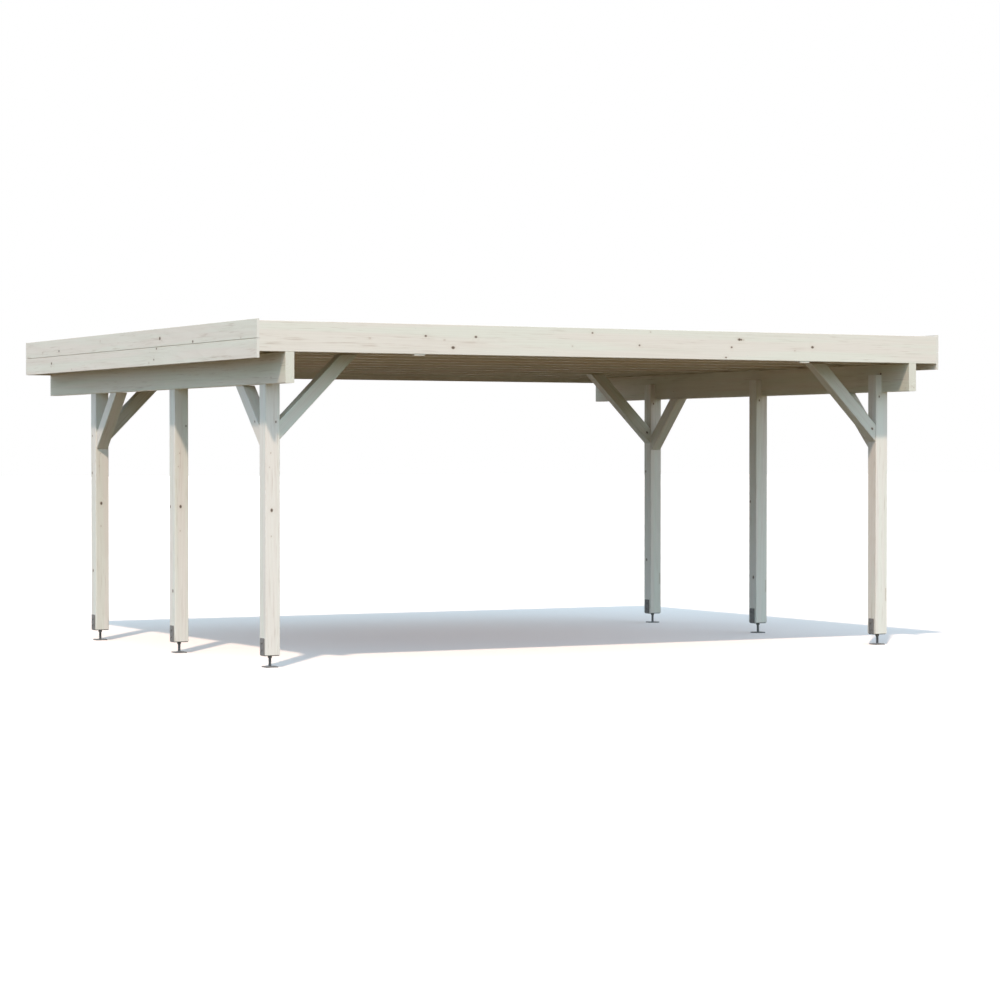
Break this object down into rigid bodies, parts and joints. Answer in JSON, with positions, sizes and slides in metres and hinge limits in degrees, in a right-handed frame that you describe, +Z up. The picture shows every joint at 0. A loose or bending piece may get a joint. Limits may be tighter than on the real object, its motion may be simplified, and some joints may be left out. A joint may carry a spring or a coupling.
{
  "type": "flat-roof timber double carport",
  "caption": "Open timber carport with a flat roof, deep fascia, side beams on rebated posts, knee braces and adjustable steel post shoes, for parking cars side by side.",
  "frame": {"origin": "middle of the roof's plan, on the ground", "axes": "+X to the right seen from the drive, +Y from the front to the back, +Z up"},
  "size_m": [6.313, 5.307, 2.66],
  "materials": {
    "whitewashed_timber": "planed spruce under a thin white stain, with grain and knots showing",
    "roof_boards": "bare sawn spruce boards",
    "roof_membrane": "dark matt roofing membrane",
    "shoe_steel": "dull dark zinc coating"
  },
  "bodies": {
    "root": {"front_left_post": "whitewashed_timber", "front_left_shoe": "shoe_steel", "middle_left_post": "whitewashed_timber", "middle_left_shoe": "shoe_steel", "rear_left_post": "whitewashed_timber", "rear_left_shoe": "shoe_steel", "left_beam": "whitewashed_timber", "front_left_cross_brace": "whitewashed_timber", "front_left_beam_brace": "whitewashed_timber", "rear_left_cross_brace": "whitewashed_timber", "rear_left_beam_brace": "whitewashed_timber", "left_lower_fascia": "whitewashed_timber", "left_upper_fascia": "whitewashed_timber", "front_right_post": "whitewashed_timber", "front_right_shoe": "shoe_steel", "middle_right_post": "whitewashed_timber", "middle_right_shoe": "shoe_steel", "rear_right_post": "whitewashed_timber", "rear_right_shoe": "shoe_steel", "right_beam": "whitewashed_timber", "front_right_cross_brace": "whitewashed_timber", "front_right_beam_brace": "whitewashed_timber", "rear_right_cross_brace": "whitewashed_timber", "rear_right_beam_brace": "whitewashed_timber", "right_lower_fascia": "whitewashed_timber", "right_upper_fascia": "whitewashed_timber", "rafter_1": "whitewashed_timber", "rafter_2": "whitewashed_timber", "rafter_3": "whitewashed_timber", "rafter_4": "whitewashed_timber", "rafter_5": "whitewashed_timber", "rafter_6": "whitewashed_timber", "rafter_7": "whitewashed_timber", "rafter_8": "whitewashed_timber", "rafter_9": "whitewashed_timber", "rafter_10": "whitewashed_timber", "front_fascia": "whitewashed_timber", "rear_lower_fascia": "whitewashed_timber", "rear_upper_fascia": "whitewashed_timber", "roof_deck": "roof_boards", "roof_membrane": "roof_membrane", "fascia_cleats": "whitewashed_timber"}
  },
  "joints": []
}
